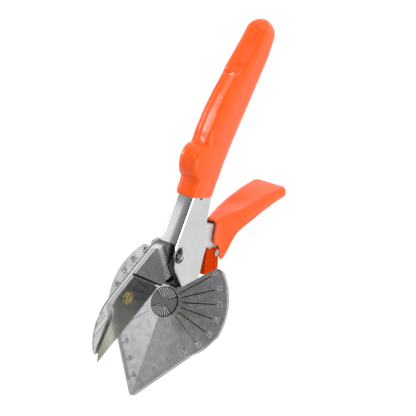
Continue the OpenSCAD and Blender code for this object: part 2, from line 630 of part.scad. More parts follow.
upper_lever();
upper_grip();
base_casting();
anvil_disc();
anvil_screw();
base_rivets();
pivot_bolt();
pivot_nut();
pivot_washer();
pivot_bush();
return_spring();
blade_holder();
blade();
blade_screw();
blade_nut();
lower_lever();
lower_grip();
tang_rivets();
lock_latch();
latch_pin();
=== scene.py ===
# %% [markdown]
# # Mitre shears in Blender
# The solids of the shears come in as a fixed frame, already in their right places and sizes, in metres.
# This lesson dresses them: it softens the edges of the folded steel, moulds the dipped grips, letters the
# protractor and gives every piece a finish made of shader nodes.

# %% Load the frame
import math

import bmesh
import bpy
import numpy as np
from mathutils import Matrix, Vector


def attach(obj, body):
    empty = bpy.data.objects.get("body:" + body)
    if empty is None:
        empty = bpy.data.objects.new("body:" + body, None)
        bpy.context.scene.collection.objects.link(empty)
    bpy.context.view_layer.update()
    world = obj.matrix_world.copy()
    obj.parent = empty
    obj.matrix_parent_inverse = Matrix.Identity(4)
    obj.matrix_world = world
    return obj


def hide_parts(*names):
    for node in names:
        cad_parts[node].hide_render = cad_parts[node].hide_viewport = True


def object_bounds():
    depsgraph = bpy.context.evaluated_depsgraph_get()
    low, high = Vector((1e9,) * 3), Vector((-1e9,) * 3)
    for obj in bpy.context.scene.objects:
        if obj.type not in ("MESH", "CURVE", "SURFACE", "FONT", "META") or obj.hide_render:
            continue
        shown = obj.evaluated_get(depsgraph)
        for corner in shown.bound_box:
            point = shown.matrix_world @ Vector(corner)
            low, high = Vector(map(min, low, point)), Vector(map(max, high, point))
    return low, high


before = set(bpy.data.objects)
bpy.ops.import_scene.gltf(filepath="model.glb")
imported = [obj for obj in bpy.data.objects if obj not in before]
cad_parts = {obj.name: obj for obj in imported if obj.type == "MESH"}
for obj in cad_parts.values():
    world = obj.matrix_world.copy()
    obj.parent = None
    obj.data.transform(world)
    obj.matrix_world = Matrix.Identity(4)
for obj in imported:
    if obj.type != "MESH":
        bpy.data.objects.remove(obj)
cad_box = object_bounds()
MM = 0.001

# %% [markdown]
# ## The camera
# A camera is a place, a direction and a lens. All three came from matching the protractor's 15 degree lines
# in the photograph. The lens is long, so the tool hardly tapers with distance.

# %% Camera
PICTURE_WIDTH = 416
FOCAL_PIXELS = 1556.035
SENSOR_WIDTH = 36.0
turn = Vector((-1.64659, -2.29999, 0.64071))  # the axis, as long as the angle in radians
world_to_view = Matrix.Rotation(turn.length, 3, turn.normalized())
offset = Vector((-24.294, 51.489, 856.8)) * MM
camera_data = bpy.data.cameras.new("photo_camera")
camera_data.sensor_width = SENSOR_WIDTH
camera_data.lens = SENSOR_WIDTH * FOCAL_PIXELS / PICTURE_WIDTH
camera = bpy.data.objects.new("photo_camera", camera_data)
bpy.context.scene.collection.objects.link(camera)
flip = Matrix(((1, 0, 0), (0, -1, 0), (0, 0, -1)))
camera.matrix_world = Matrix.Translation(-(world_to_view.transposed() @ offset)) @ (
    world_to_view.transposed() @ flip).to_4x4()
bpy.context.scene.camera = camera
print("camera at", [round(v, 3) for v in camera.matrix_world.translation])

# %% [markdown]
# ## Light and floor
# A product photograph is lit by large soft sources. Bright metal shows what surrounds it, so the sky is a
# gradient: grey overhead, pale at the horizon, with a dark panel that puts dark lines into the bends.
# Area lights give the clear highlights, and a softbox sits where the flat top faces mirror it. The floor lies
# a little below the solids, because the moulded lower grip reaches past them.

# %% Floor and lights
bpy.context.scene.view_settings.view_transform = "Standard"
FLOOR_GAP = 0.0025
FLOOR_HALF = 6.0
floor_z = cad_box[0][2] - FLOOR_GAP


def flat_sheet(name, half, z):
    """A square of side 2 * half at height z."""
    mesh = bpy.data.meshes.new(name)
    corners = [(-half, -half, z), (half, -half, z), (half, half, z), (-half, half, z)]
    mesh.from_pydata(corners, [], [(0, 1, 2, 3)])
    sheet = bpy.data.objects.new(name, mesh)
    bpy.context.scene.collection.objects.link(sheet)
    return sheet


floor = flat_sheet("floor", FLOOR_HALF, floor_z)


def area_light(name, place, aim, size, watts):
    """A square soft light at place, turned towards aim."""
    data = bpy.data.lights.new(name, "AREA")
    data.size = size
    data.energy = watts
    lamp = bpy.data.objects.new(name, data)
    lamp.location = place
    lamp.rotation_euler = (Vector(aim) - Vector(place)).to_track_quat("-Z", "Y").to_euler()
    bpy.context.scene.collection.objects.link(lamp)


area_light("key_light", (-0.3, 0.3, 0.9), (-0.06, 0, 0), 0.16, 2.2)
area_light("side_light", (-0.2, -0.85, 0.42), (-0.06, 0, 0), 0.24, 2.2)
area_light("front_light", (0.15, 0.95, 0.2), (-0.03, 0, 0), 0.6, 4.0)
area_light("top_softbox", (-0.03, -0.575, 0.818), (-0.03, 0, 0), 0.26, 0.17)
area_light("trough_light", (-0.29, -0.92, 0.26), (-0.11, 0, 0.02), 0.4, 2.8)
area_light("handle_light", (-0.95, 0.15, 0.5), (-0.08, 0, 0), 0.5, 3.0)
print("floor at", round(floor_z, 4))

# %% [markdown]
# ## Shader maths as Python
# Shader nodes are easier to read as formulas. `Val` wraps a socket, so that `1 - mask * 0.5` adds the Math
# nodes. `Finish` owns one material, and its `node` method makes any other kind of node.

# %% Shader helpers
X_AXIS, Y_AXIS, Z_AXIS = (1.0, 0.0, 0.0), (0.0, 1.0, 0.0), (0.0, 0.0, 1.0)
MIX_DARK, MIX_LIGHT, MIX_OUT = 6, 7, 2  # the colour sockets of a Mix node


class Val:
    """A shader socket that takes part in Python arithmetic."""

    def __init__(self, tree, socket):
        self.tree = tree
        self.socket = socket

    def math(self, operation, *others):
        made = self.tree.nodes.new("ShaderNodeMath")
        made.operation = operation
        for slot, value in zip(made.inputs, others):
            if isinstance(value, Val):
                self.tree.links.new(value.socket, slot)
            else:
                slot.default_value = value
        return Val(self.tree, made.outputs[0])

    def __add__(self, other):
        return self.math("ADD", self, other)

    def __radd__(self, other):
        return self.math("ADD", other, self)

    def __sub__(self, other):
        return self.math("SUBTRACT", self, other)

    def __rsub__(self, other):
        return self.math("SUBTRACT", other, self)

    def __mul__(self, other):
        return self.math("MULTIPLY", self, other)

    def __rmul__(self, other):
        return self.math("MULTIPLY", other, self)

    def __abs__(self):
        return self.math("ABSOLUTE", self)

    def clamp01(self):
        return self.math("MINIMUM", self.math("MAXIMUM", self, 0.0), 1.0)

    def step(self, low, high):
        """0 below low, 1 above high, smooth between."""
        t = ((self - low) * (1.0 / (high - low))).clamp01()
        return t * t * (3.0 - 2.0 * t)


class Finish:
    """One material and the nodes that make it."""

    def __init__(self, name, color, metallic, roughness, coat=0.0, specular=0.5):
        self.material = bpy.data.materials.new(name)
        self.material.use_nodes = True
        self.tree = self.material.node_tree
        self.shader = self.tree.nodes["Principled BSDF"]
        self.set("Base Color", (*color, 1.0))
        self.set("Metallic", metallic)
        self.set("Roughness", roughness)
        self.set("Coat Weight", coat)
        self.set("Coat Roughness", 0.08)
        self.set("Specular IOR Level", specular)
        self.co = self.node("ShaderNodeTexCoord", out="Object")

    def node(self, kind, settings=None, inputs=None, out=0):
        """Any node: its settings first, then the values or links of its sockets."""
        made = self.tree.nodes.new(kind)
        for key, value in (settings or {}).items():
            setattr(made, key, value)
        for key, value in (inputs or {}).items():
            if isinstance(value, Val):
                self.tree.links.new(value.socket, made.inputs[key])
            else:
                made.inputs[key].default_value = value
        return Val(self.tree, made.outputs[out])

    def set(self, name, value):
        slot = self.shader.inputs[name]
        if isinstance(value, Val):
            self.tree.links.new(value.socket, slot)
        else:
            slot.default_value = value

    def stretch(self, sx, sy, sz, turn_y=0.0):
        """Object coordinates turned about Y and scaled, so a pattern can run along a piece."""
        scale = (1 / sx, 1 / sy, 1 / sz)
        return self.node("ShaderNodeMapping", {"vector_type": "TEXTURE"},
                         {"Vector": self.co, "Rotation": (0.0, -turn_y, 0.0), "Scale": scale})

    def noise(self, scale, detail=3.0, where=None):
        return self.node("ShaderNodeTexNoise", None,
                         {"Vector": where or self.co, "Scale": scale, "Detail": detail})

    def along(self, direction, start=0.0):
        """Distance along a direction of the object's axes, in metres."""
        return self.node("ShaderNodeVectorMath", {"operation": "DOT_PRODUCT"},
                         {0: self.co, 1: direction}, out="Value") - start

    def radius(self):
        """Distance from the object's Z axis, in metres."""
        flat = self.node("ShaderNodeVectorMath", {"operation": "MULTIPLY"}, {0: self.co, 1: (1.0, 1.0, 0.0)})
        return self.node("ShaderNodeVectorMath", {"operation": "LENGTH"}, {0: flat}, out="Value")

    def mix(self, factor, dark, light):
        """A colour between dark and light, each a colour or another node's result."""
        first, second = [c if isinstance(c, Val) else (*c, 1.0) for c in (dark, light)]
        return self.node("ShaderNodeMix", {"data_type": "RGBA"},
                         {0: factor, MIX_DARK: first, MIX_LIGHT: second}, out=MIX_OUT)

    def bump(self, height, distance, strength):
        made = self.node("ShaderNodeBump", None,
                         {"Height": height, "Distance": distance, "Strength": strength})
        self.set("Normal", made)


print("shader helpers ready")

# %% [markdown]
# ## Finishes
# Each finish starts from the real material: bright plated sheet with faint rolling marks, a ground blade with
# marks across its bevel, a satin die casting with a mottled skin, glossy dipped vinyl, brass and zinc.

# %% Metal finishes
FINE_BUMP = 0.00001
WING_FALL = 0.0787  # how far the wings drop for each unit away from the ridge
PIVOT = (-26.5 * MM, 0.0, 10.4 * MM)
OPEN = math.radians(34.3)
EDGE_UP = (-math.sin(OPEN), 0.0, math.cos(OPEN))
EDGE_ALONG = (math.cos(OPEN), 0.0, math.sin(OPEN))
PIVOT_U = sum(a * b for a, b in zip(EDGE_ALONG, PIVOT))
PIVOT_N = sum(a * b for a, b in zip(EDGE_UP, PIVOT))


def plated_steel():
    """Bright plating: clean grey metal, long faint rolling marks and a cloudy gloss."""
    m = Finish("plated_steel", (0.6, 0.6, 0.61), 1.0, 0.1)
    marks = m.noise(1.0, 4.0, m.stretch(60.0, 900.0, 900.0))
    cloud = m.noise(70.0, 2.0)
    m.set("Base Color", m.mix(cloud, (0.52, 0.52, 0.525), (0.66, 0.66, 0.665)))
    m.set("Roughness", 0.05 + 0.06 * marks + 0.05 * cloud)
    m.bump(marks, FINE_BUMP, 0.15)
    return m.material


def holder_steel():
    """The same plating on the blade lever, drawn in its own axes: u along the edge, n above it, y across.

    The flange is polished and shows the casting, the back and the greyer nose are brushed along u, the fold
    at the hub is painted dark as shade and the arm behind it is duller. A painted shadow line marks where the
    near flange is cut off above the blade.
    """
    m = Finish("plated_steel_arm", (0.6, 0.6, 0.61), 1.0, 0.1)
    u, n, y = m.along(EDGE_ALONG, PIVOT_U), m.along(EDGE_UP, PIVOT_N), m.along(Y_AXIS)
    on_back = n.step(0.0161, 0.0164)
    on_lobe = 1.0 - y.step(-0.0011, -0.0009)
    nose = u.step(0.0575, 0.0605)
    arm = 1.0 - u.step(-0.014, -0.01)
    # The fold at the hub is painted dark as shade.
    hub = u.step(-0.012, -0.006) * (1.0 - u.step(0.006, 0.0105))
    # A painted shadow line along the cut end of the near flange, above the blade.
    cut = u - 0.64 * n
    line = cut.step(0.0217, 0.0219) * (1.0 - cut.step(0.0233, 0.0235)) * y.step(0.0007, 0.0008)
    marks = m.noise(1.0, 4.0, m.stretch(14.0, 800.0, 800.0, OPEN))
    cloud = m.noise(90.0, 2.0)
    streak = marks.step(0.3, 0.7)
    flange = m.mix(cloud, (0.6, 0.605, 0.61), (0.85, 0.855, 0.86))
    back = m.mix(streak, (0.48, 0.48, 0.48), (0.9, 0.9, 0.89))
    lobe = m.mix(streak, (0.2, 0.2, 0.195), (0.36, 0.36, 0.35))
    steel = m.mix(on_back, flange, back)
    steel = m.mix(on_lobe, steel, lobe)
    steel = m.mix(nose, steel, m.mix(streak, (0.36, 0.36, 0.35), (0.64, 0.64, 0.62)))
    steel = m.mix(arm, steel, m.mix(cloud, (0.6, 0.6, 0.61), (0.7, 0.7, 0.71)))
    steel = m.mix(hub, steel, (0.09, 0.095, 0.1))
    m.set("Base Color", m.mix(line, steel, (0.012, 0.012, 0.014)))
    m.set("Metallic", 0.87 - 0.62 * arm)
    m.set("Roughness", 0.05 + 0.08 * marks + 0.04 * cloud + 0.3 * arm)
    m.bump(marks, FINE_BUMP, 0.2)
    return m.material


def ground_blade():
    """Ground steel: a bright back, a darker bevel with marks across it, and a thin bright edge.

    Points that lie deeper than the two faces are on the cut ends, which are plain grey.
    """
    m = Finish("ground_blade", (0.5, 0.5, 0.5), 1.0, 0.3)
    up, on = m.along(EDGE_UP, PIVOT_N), m.along(EDGE_ALONG, PIVOT_U)
    marks = m.noise(1.0, 3.0, m.stretch(2600.0, 400.0, 90.0, OPEN))
    back = up.step(0.0089, 0.0094)
    edge = 1.0 - up.step(-0.0096, -0.0090)
    warm = on.step(0.035, 0.07)
    bevel = m.mix(warm, (0.4, 0.405, 0.385), (0.28, 0.26, 0.2))
    # A lighter band along the middle of the bevel is a painted highlight.
    painted_sheen = 0.5 * on.step(0.028, 0.046) * (1.0 - on.step(0.056, 0.072))
    bevel = m.mix(painted_sheen, bevel, (0.8, 0.8, 0.74))
    steel = m.mix(back, bevel, (0.6, 0.61, 0.63))
    half_thick = 0.0394 * up + 0.00044
    cut_end = (half_thick - abs(m.along(Y_AXIS))).step(0.00004, 0.0001)
    steel = m.mix(cut_end, steel, (0.55, 0.55, 0.54))
    m.set("Base Color", m.mix(edge, steel, (0.9, 0.9, 0.9)))
    m.set("Roughness", 0.1 + 0.1 * marks)
    m.bump(marks, FINE_BUMP, 0.12)
    return m.material


def cast_alloy():
    """Satin die casting: grey metal with a fine mottled skin, dark engraved lines and a pale rim.

    Depth below the sloping wings tells the engraved lines and the rim from the plain top, and the rim sides
    are grey, darker towards the front. The two front facets are lit and shaded copies of one grey, the near
    one painted lighter and the far one darker, as painted light. The engraved lines turn pale towards the
    front as a painted highlight, and a black ring round the disc is painted shade in its gap. The cheeks and
    the space between the flanges are painted near black: partly the cheeks' own dark finish, partly painted
    shade.
    """
    m = Finish("cast_alloy", (0.55, 0.55, 0.56), 1.0, 0.4)
    skin = m.noise(1100.0, 2.0)
    cloud = m.noise(240.0, 5.0)
    x, y = m.along(X_AXIS), m.along(Y_AXIS)
    across = abs(y)
    down = m.along(Z_AXIS) + WING_FALL * across
    mottle = cloud.step(0.25, 0.75) * 0.65 + skin.step(0.2, 0.8) * 0.35
    wing = m.mix(mottle, (0.36, 0.362, 0.362), (0.64, 0.642, 0.642))
    # The two front facets are lit and shaded copies of one grey: painted light.
    painted_shaded_far_front = m.mix(mottle, (0.4, 0.405, 0.41), (0.58, 0.585, 0.59))
    painted_lit_near_front = m.mix(mottle, (0.64, 0.65, 0.66), (0.89, 0.9, 0.91))
    front = m.mix(y.step(-0.0004, 0.0004), painted_shaded_far_front, painted_lit_near_front)
    plain = m.mix((x - 0.35 * y).step(-0.008, 0.016), wing, front)
    rim = 1.0 - down.step(-0.0011, -0.0009)
    side = m.mix(x.step(0.004, 0.016), (0.42, 0.42, 0.42), (0.17, 0.17, 0.17))
    plain = m.mix(rim, plain, side)
    engraved = (1.0 - down.step(-0.0002, -0.00008)) * down.step(-0.0008, -0.0007)
    out = m.radius()
    # A black ring round the disc is painted shade in the gap.
    ring = out.step(0.0078, 0.0079) * (1.0 - out.step(0.0084, 0.0086))
    # The engraved lines turn pale towards the front: a painted highlight.
    fill = m.mix((x - 0.45 * y).step(0.0, 0.004), (0.03, 0.03, 0.032), (0.5, 0.5, 0.5))
    shade = m.mix(ring, m.mix(engraved, plain, fill), (0.015, 0.015, 0.016))
    # The cheeks and the space between the flanges are painted near black: partly the cheeks' own dark finish,
    # partly painted shade.
    cheek_and_gap_shade = (1.0 - x.step(-0.0096, -0.0088)) * (1.0 - across.step(0.0047, 0.0052))
    m.set("Base Color", m.mix(cheek_and_gap_shade, shade, (0.05, 0.06, 0.065)))
    m.set("Roughness", 0.17 + 0.12 * skin - 0.07 * cheek_and_gap_shade)
    m.bump(skin, 0.00004, 0.25)
    return m.material


def disc_alloy():
    """The anvil disc: fans of bright lands and grooves painted dark as shade, less dark inwards, darker
    sectors between.
    """
    m = Finish("disc_alloy", (0.7, 0.7, 0.7), 1.0, 0.25)
    x, deep, out = m.along(X_AXIS), m.along(Z_AXIS), m.radius()
    speck = m.noise(1200.0, 3.0)
    fan = (abs(x) - 0.616 * out).step(-0.0002, 0.0004) * out.step(0.0022, 0.0034)
    plain = m.mix(speck, (0.1, 0.1, 0.1), (0.24, 0.24, 0.24))
    # The grooves are painted near black as shade, less dark towards the centre.
    groove = (1.0 - deep.step(-0.0003, -0.0001)) * (0.35 + 0.65 * out.step(0.0025, 0.006))
    m.set("Base Color", m.mix(groove, m.mix(fan, plain, (0.62, 0.62, 0.61)), (0.015, 0.015, 0.015)))
    m.set("Roughness", 0.2 + 0.12 * speck)
    return m.material


def bolt_zinc():
    """The bolt's bright zinc, with a painted reflection of the room's dark side on the top of its dome."""
    m = Finish("bolt_zinc", (0.42, 0.42, 0.41), 1.0, 0.14)
    speck = m.noise(1500.0, 2.0)
    # The upper part of the dome is painted near black as a painted reflection.
    shade = m.along(Z_AXIS).step(0.012, 0.0134)
    zinc = m.mix(speck, (0.56, 0.56, 0.54), (0.64, 0.64, 0.62))
    m.set("Base Color", m.mix(shade, zinc, (0.05, 0.05, 0.05)))
    m.set("Roughness", 0.09 + 0.12 * speck)
    return m.material


LOW_SPLAY = math.radians(23.3)
TANG_BACK, TANG_DROP = 38.3, 10
LOW_TURN = OPEN + LOW_SPLAY
LOW_START = (PIVOT[0] / MM - TANG_BACK * math.cos(OPEN) + TANG_DROP * math.sin(OPEN),
             PIVOT[2] / MM - TANG_BACK * math.sin(OPEN) - TANG_DROP * math.cos(OPEN))


def coated_lever():
    """The lower lever: dull steel painted near black as shade in its coat's front opening, orange coat
    further back.
    """
    m = Finish("coated_lever", (0.05, 0.05, 0.055), 1.0, 0.45, 0.0, 0.26)
    forward = (math.cos(LOW_TURN), 0.0, math.sin(LOW_TURN))
    behind = 0.0 - m.along(forward, MM * (LOW_START[0] * forward[0] + LOW_START[1] * forward[2]))
    coat = behind.step(0.0075, 0.0085)
    speck = m.noise(900.0, 2.0)
    # The bare steel in the coat's opening is painted near black as shade.
    steel = m.mix(speck, (0.042, 0.042, 0.047), (0.05, 0.05, 0.055))
    m.set("Base Color", m.mix(coat, steel, (0.93, 0.1, 0.003)))
    m.set("Metallic", 1.0 - coat)
    m.set("Roughness", 0.4 + 0.12 * speck - 0.15 * coat)
    return m.material


def plain_metal(name, color, roughness, grain):
    """Small turned parts: one metal with faint turning grain."""
    m = Finish(name, color, 1.0, roughness)
    speck = m.noise(grain, 2.0)
    m.set("Roughness", roughness - 0.05 + 0.12 * speck)
    m.set("Base Color", m.mix(speck, tuple(c * 0.85 for c in color), color))
    return m.material


PLATED = plated_steel()
PLATED_ARM = holder_steel()
BLADE = ground_blade()
CAST = cast_alloy()
DISC = disc_alloy()
BOLT = bolt_zinc()
ZINC = plain_metal("bright_zinc", (0.42, 0.42, 0.41), 0.14, 1500.0)
BARE = coated_lever()
BRASS = plain_metal("brass", (0.5, 0.4, 0.17), 0.3, 1500.0)
WIRE = plain_metal("spring_wire", (0.45, 0.46, 0.48), 0.3, 2500.0)
METALS = (PLATED, PLATED_ARM, BLADE, CAST, DISC, BOLT, ZINC, BARE, BRASS, WIRE)
print("metal finishes", [m.name for m in METALS])

# %% Plastic, floor and mark finishes


def dipped_vinyl(name, deep, light, roughness, coat, specular):
    """Dipped vinyl: saturated colour that pools a little darker in places, with a clear gloss."""
    m = Finish(name, light, 0.0, roughness, coat, specular)
    pool = m.noise(45.0, 2.0)
    m.set("Base Color", m.mix(pool, deep, light))
    m.set("Roughness", roughness + 0.08 * m.noise(260.0, 2.0))
    return m.material


ORANGE = dipped_vinyl("orange_vinyl", (0.9, 0.085, 0.002), (0.97, 0.11, 0.004), 0.25, 0.08, 0.3)
LATCH_ORANGE = dipped_vinyl("latch_orange", (0.52, 0.034, 0.002), (0.6, 0.045, 0.003), 0.45, 0.0, 0.0)


def floor_white():
    """A white floor lit from below, like a light table, so that shadows stay faint."""
    m = Finish("pale_floor", (0.05, 0.05, 0.05), 0.0, 0.9, 0.0, 0.0)
    m.set("Base Color", m.mix(m.noise(3.0, 2.0), (0.04, 0.04, 0.04), (0.06, 0.06, 0.06)))
    m.set("Emission Color", (1.0, 1.0, 1.0, 1.0))
    m.set("Emission Strength", 1.0)
    return m.material


def mark_fill(name, deep, light):
    """The dull fill of an engraved mark, or the painted highlight on the edge beside it."""
    m = Finish(name, light, 0.2, 0.6)
    m.set("Base Color", m.mix(m.noise(600.0), deep, light))
    return m.material


floor.data.materials.append(floor_white())
MARKS = mark_fill("dark_marks", (0.02, 0.02, 0.022), (0.06, 0.06, 0.065))
# A lighter grey copy of each near-wing mark stands as a painted highlight.
PAINTED_HIGHLIGHT = mark_fill("painted_highlight_marks", (0.34, 0.34, 0.34), (0.5, 0.5, 0.5))
print("other finishes", [m.name for m in (ORANGE, LATCH_ORANGE, MARKS, PAINTED_HIGHLIGHT)])

# %% Sky
SKY_PALE, SKY_GREY, SKY_PANEL = (0.95, 0.95, 0.96, 1), (0.34, 0.34, 0.35, 1), (0.03, 0.03, 0.03, 1)
SKY_STRENGTH = 0.8
world = bpy.data.worlds.new("studio")
world.use_nodes = True
bpy.context.scene.world = world
sky = world.node_tree
direction = sky.nodes.new("ShaderNodeTexCoord")
split = sky.nodes.new("ShaderNodeSeparateXYZ")
ramp = sky.nodes.new("ShaderNodeValToRGB")
sky.links.new(direction.outputs["Generated"], split.inputs[0])
sky.links.new(split.outputs["Z"], ramp.inputs[0])
panel = Val(sky, split.outputs["Y"]).step(0.5, 0.62) * Val(sky, split.outputs["Z"]).step(0.3, 0.4)
shade = sky.nodes.new("ShaderNodeMix")
shade.data_type = "RGBA"
sky.links.new(panel.socket, shade.inputs[0])
sky.links.new(ramp.outputs[0], shade.inputs[MIX_DARK])
shade.inputs[MIX_LIGHT].default_value = SKY_PANEL
sky.links.new(shade.outputs[MIX_OUT], sky.nodes["Background"].inputs[0])
ramp.color_ramp.elements[0].color = SKY_PALE
ramp.color_ramp.elements[1].color = SKY_GREY
ramp.color_ramp.elements[0].position = 0.62
ramp.color_ramp.elements[1].position = 0.96
sky.nodes["Background"].inputs[1].default_value = SKY_STRENGTH
print("sky ready")

# %% [markdown]
# ## Softened steel
# Real sheet metal has no perfectly sharp edges: each one catches a thin line of light. A copy of the solid is
# merged into one skin, its flat triangles are joined, and a Bevel modifier rounds every edge a little.

# %% Softened copies
MERGE_DISTANCE = 2e-6
FLAT_ANGLE = math.radians(0.6)
SHARP_ANGLE = math.radians(28.0)
TIP_X, TIP_BELOW, TIP_FLOOR = 0.044, -0.0035, -0.0026


def soft_copy(node, body, finish, width, segments=2, smooth=True):
    """A merged copy of a CAD solid, with edges sharper than SHARP_ANGLE rounded by width millimetres."""
    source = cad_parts[node]
    bm = bmesh.new()
    bm.from_mesh(source.data)
    bmesh.ops.remove_doubles(bm, verts=bm.verts, dist=MERGE_DISTANCE)
    bmesh.ops.dissolve_limit(bm, angle_limit=FLAT_ANGLE, verts=bm.verts, edges=bm.edges)
    mesh = bpy.data.meshes.new("soft_" + node)
    bm.to_mesh(mesh)
    bm.free()
    if "custom_normal" in mesh.attributes:
        mesh.attributes.remove(mesh.attributes["custom_normal"])
    if smooth:
        mesh.set_sharp_from_angle(angle=SHARP_ANGLE)
    mesh.polygons.foreach_set("use_smooth", np.full(len(mesh.polygons), smooth))
    piece = bpy.data.objects.new("soft_" + node, mesh)
    bpy.context.scene.collection.objects.link(piece)
    mesh.materials.clear()
    mesh.materials.append(finish)
    if width > 0:
        bevel = piece.modifiers.new("soft_edges", "BEVEL")
        bevel.width = width * MM
        bevel.segments = segments
        bevel.limit_method = "ANGLE"
        bevel.angle_limit = SHARP_ANGLE
        bevel.harden_normals = smooth
    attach(piece, body)
    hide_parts(node)
    print(piece.name, len(mesh.polygons), "faces")
    return piece


def thin_tip(piece):
    """Raise the underside of the casting's front tip, which is thinner in the photograph than in CAD."""
    spots = np.zeros(len(piece.data.vertices) * 3, dtype=np.float32)
    piece.data.vertices.foreach_get("co", spots)
    x, z = spots[0::3], spots[2::3]
    raised = (x > TIP_X) & (z < TIP_BELOW)
    spots[2::3] = np.where(raised, TIP_FLOOR, z)
    piece.data.vertices.foreach_set("co", spots)
    piece.data.update()
    print("thin tip:", int(np.sum(raised)), "points raised")


soft_copy("upper_lever", "frame", PLATED, 0.3, 3)
soft_copy("blade_holder", "blade_lever", PLATED_ARM, 0.22, 2)
soft_copy("blade", "blade_lever", BLADE, 0.05, 1)
soft_copy("lower_lever", "blade_lever", BARE, 0.2, 2)
casting = soft_copy("base_casting", "frame", CAST, 0.12, 2, smooth=False)
thin_tip(casting)
soft_copy("anvil_disc", "frame", DISC, 0.0, smooth=False)

# %% Fasteners and latch
soft_copy("pivot_bolt", "frame", BOLT, 0.2)
soft_copy("pivot_nut", "frame", ZINC, 0.3)
soft_copy("pivot_washer", "frame", ZINC, 0.15)
soft_copy("pivot_bush", "frame", BRASS, 0.15)
soft_copy("anvil_screw", "frame", ZINC, 0.2)
soft_copy("base_rivets", "frame", ZINC, 0.4, 3)
soft_copy("blade_screw", "blade_lever", BRASS, 0.2)
soft_copy("blade_nut", "blade_lever", ZINC, 0.2)
soft_copy("tang_rivets", "blade_lever", ZINC, 0.1)
soft_copy("latch_pin", "blade_lever", ZINC, 0.15)
soft_copy("lock_latch", "latch", LATCH_ORANGE, 0.6, 4)

# %% [markdown]
# ## The upper grip
# The grip is a surface over a grid: one direction runs along the handle, the other goes round it. Each ring
# is a rounded rectangle. A dome makes the thumb knob, a shallow trough with a raised border lies behind it,
# and a fine groove runs on to the end. A Solidify modifier then gives the skin the thickness of the dip.

# %% Upper grip


def ease(value, low, high):
    """0 below low, 1 above high, smooth between."""
    t = np.clip((value - low) / (high - low), 0, 1)
    return t * t * (3 - 2 * t)


def smooth_keys(at, keys, width):
    """A line through keys, rounded by averaging it over width."""
    places, heights = np.array(keys, dtype=float).T
    shifts = np.linspace(-width, width, 9)
    return np.mean([np.interp(at + d, places, heights) for d in shifts], axis=0)


def grid_faces(rows, columns, closed=True, keep=None):
    """Quads of a grid, its last column joined to the first where closed; keep picks the quads to make."""
    i, k = np.meshgrid(np.arange(rows - 1), np.arange(columns if closed else columns - 1), indexing="ij")
    n = (k + 1) % columns
    this, after = i * columns, (i + 1) * columns
    quads = np.stack([this + k, after + k, after + n, this + n], axis=-1)
    return quads[keep] if keep is not None else quads.reshape(-1, 4)


def surface(name, points, quads, finish):
    """A smooth-shaded object from an array of points in millimetres and an array of quads."""
    mesh = bpy.data.meshes.new(name)
    mesh.vertices.add(len(points))
    mesh.vertices.foreach_set("co", (np.asarray(points, dtype=np.float32) * MM).ravel())
    mesh.loops.add(quads.size)
    mesh.loops.foreach_set("vertex_index", quads.ravel().astype(np.int32))
    mesh.polygons.add(len(quads))
    mesh.polygons.foreach_set("loop_start", np.arange(0, quads.size, 4, dtype=np.int32))
    mesh.polygons.foreach_set("use_smooth", np.ones(len(quads), dtype=bool))
    mesh.update(calc_edges=True)
    mesh.validate()
    mesh.materials.append(finish)
    piece = bpy.data.objects.new(name, mesh)
    bpy.context.scene.collection.objects.link(piece)
    return piece


def thicken(piece, thickness):
    """Give a skin its thickness in millimetres, inwards."""
    wall = piece.modifiers.new("dip", "SOLIDIFY")
    wall.thickness = thickness * MM
    wall.offset = -1.0


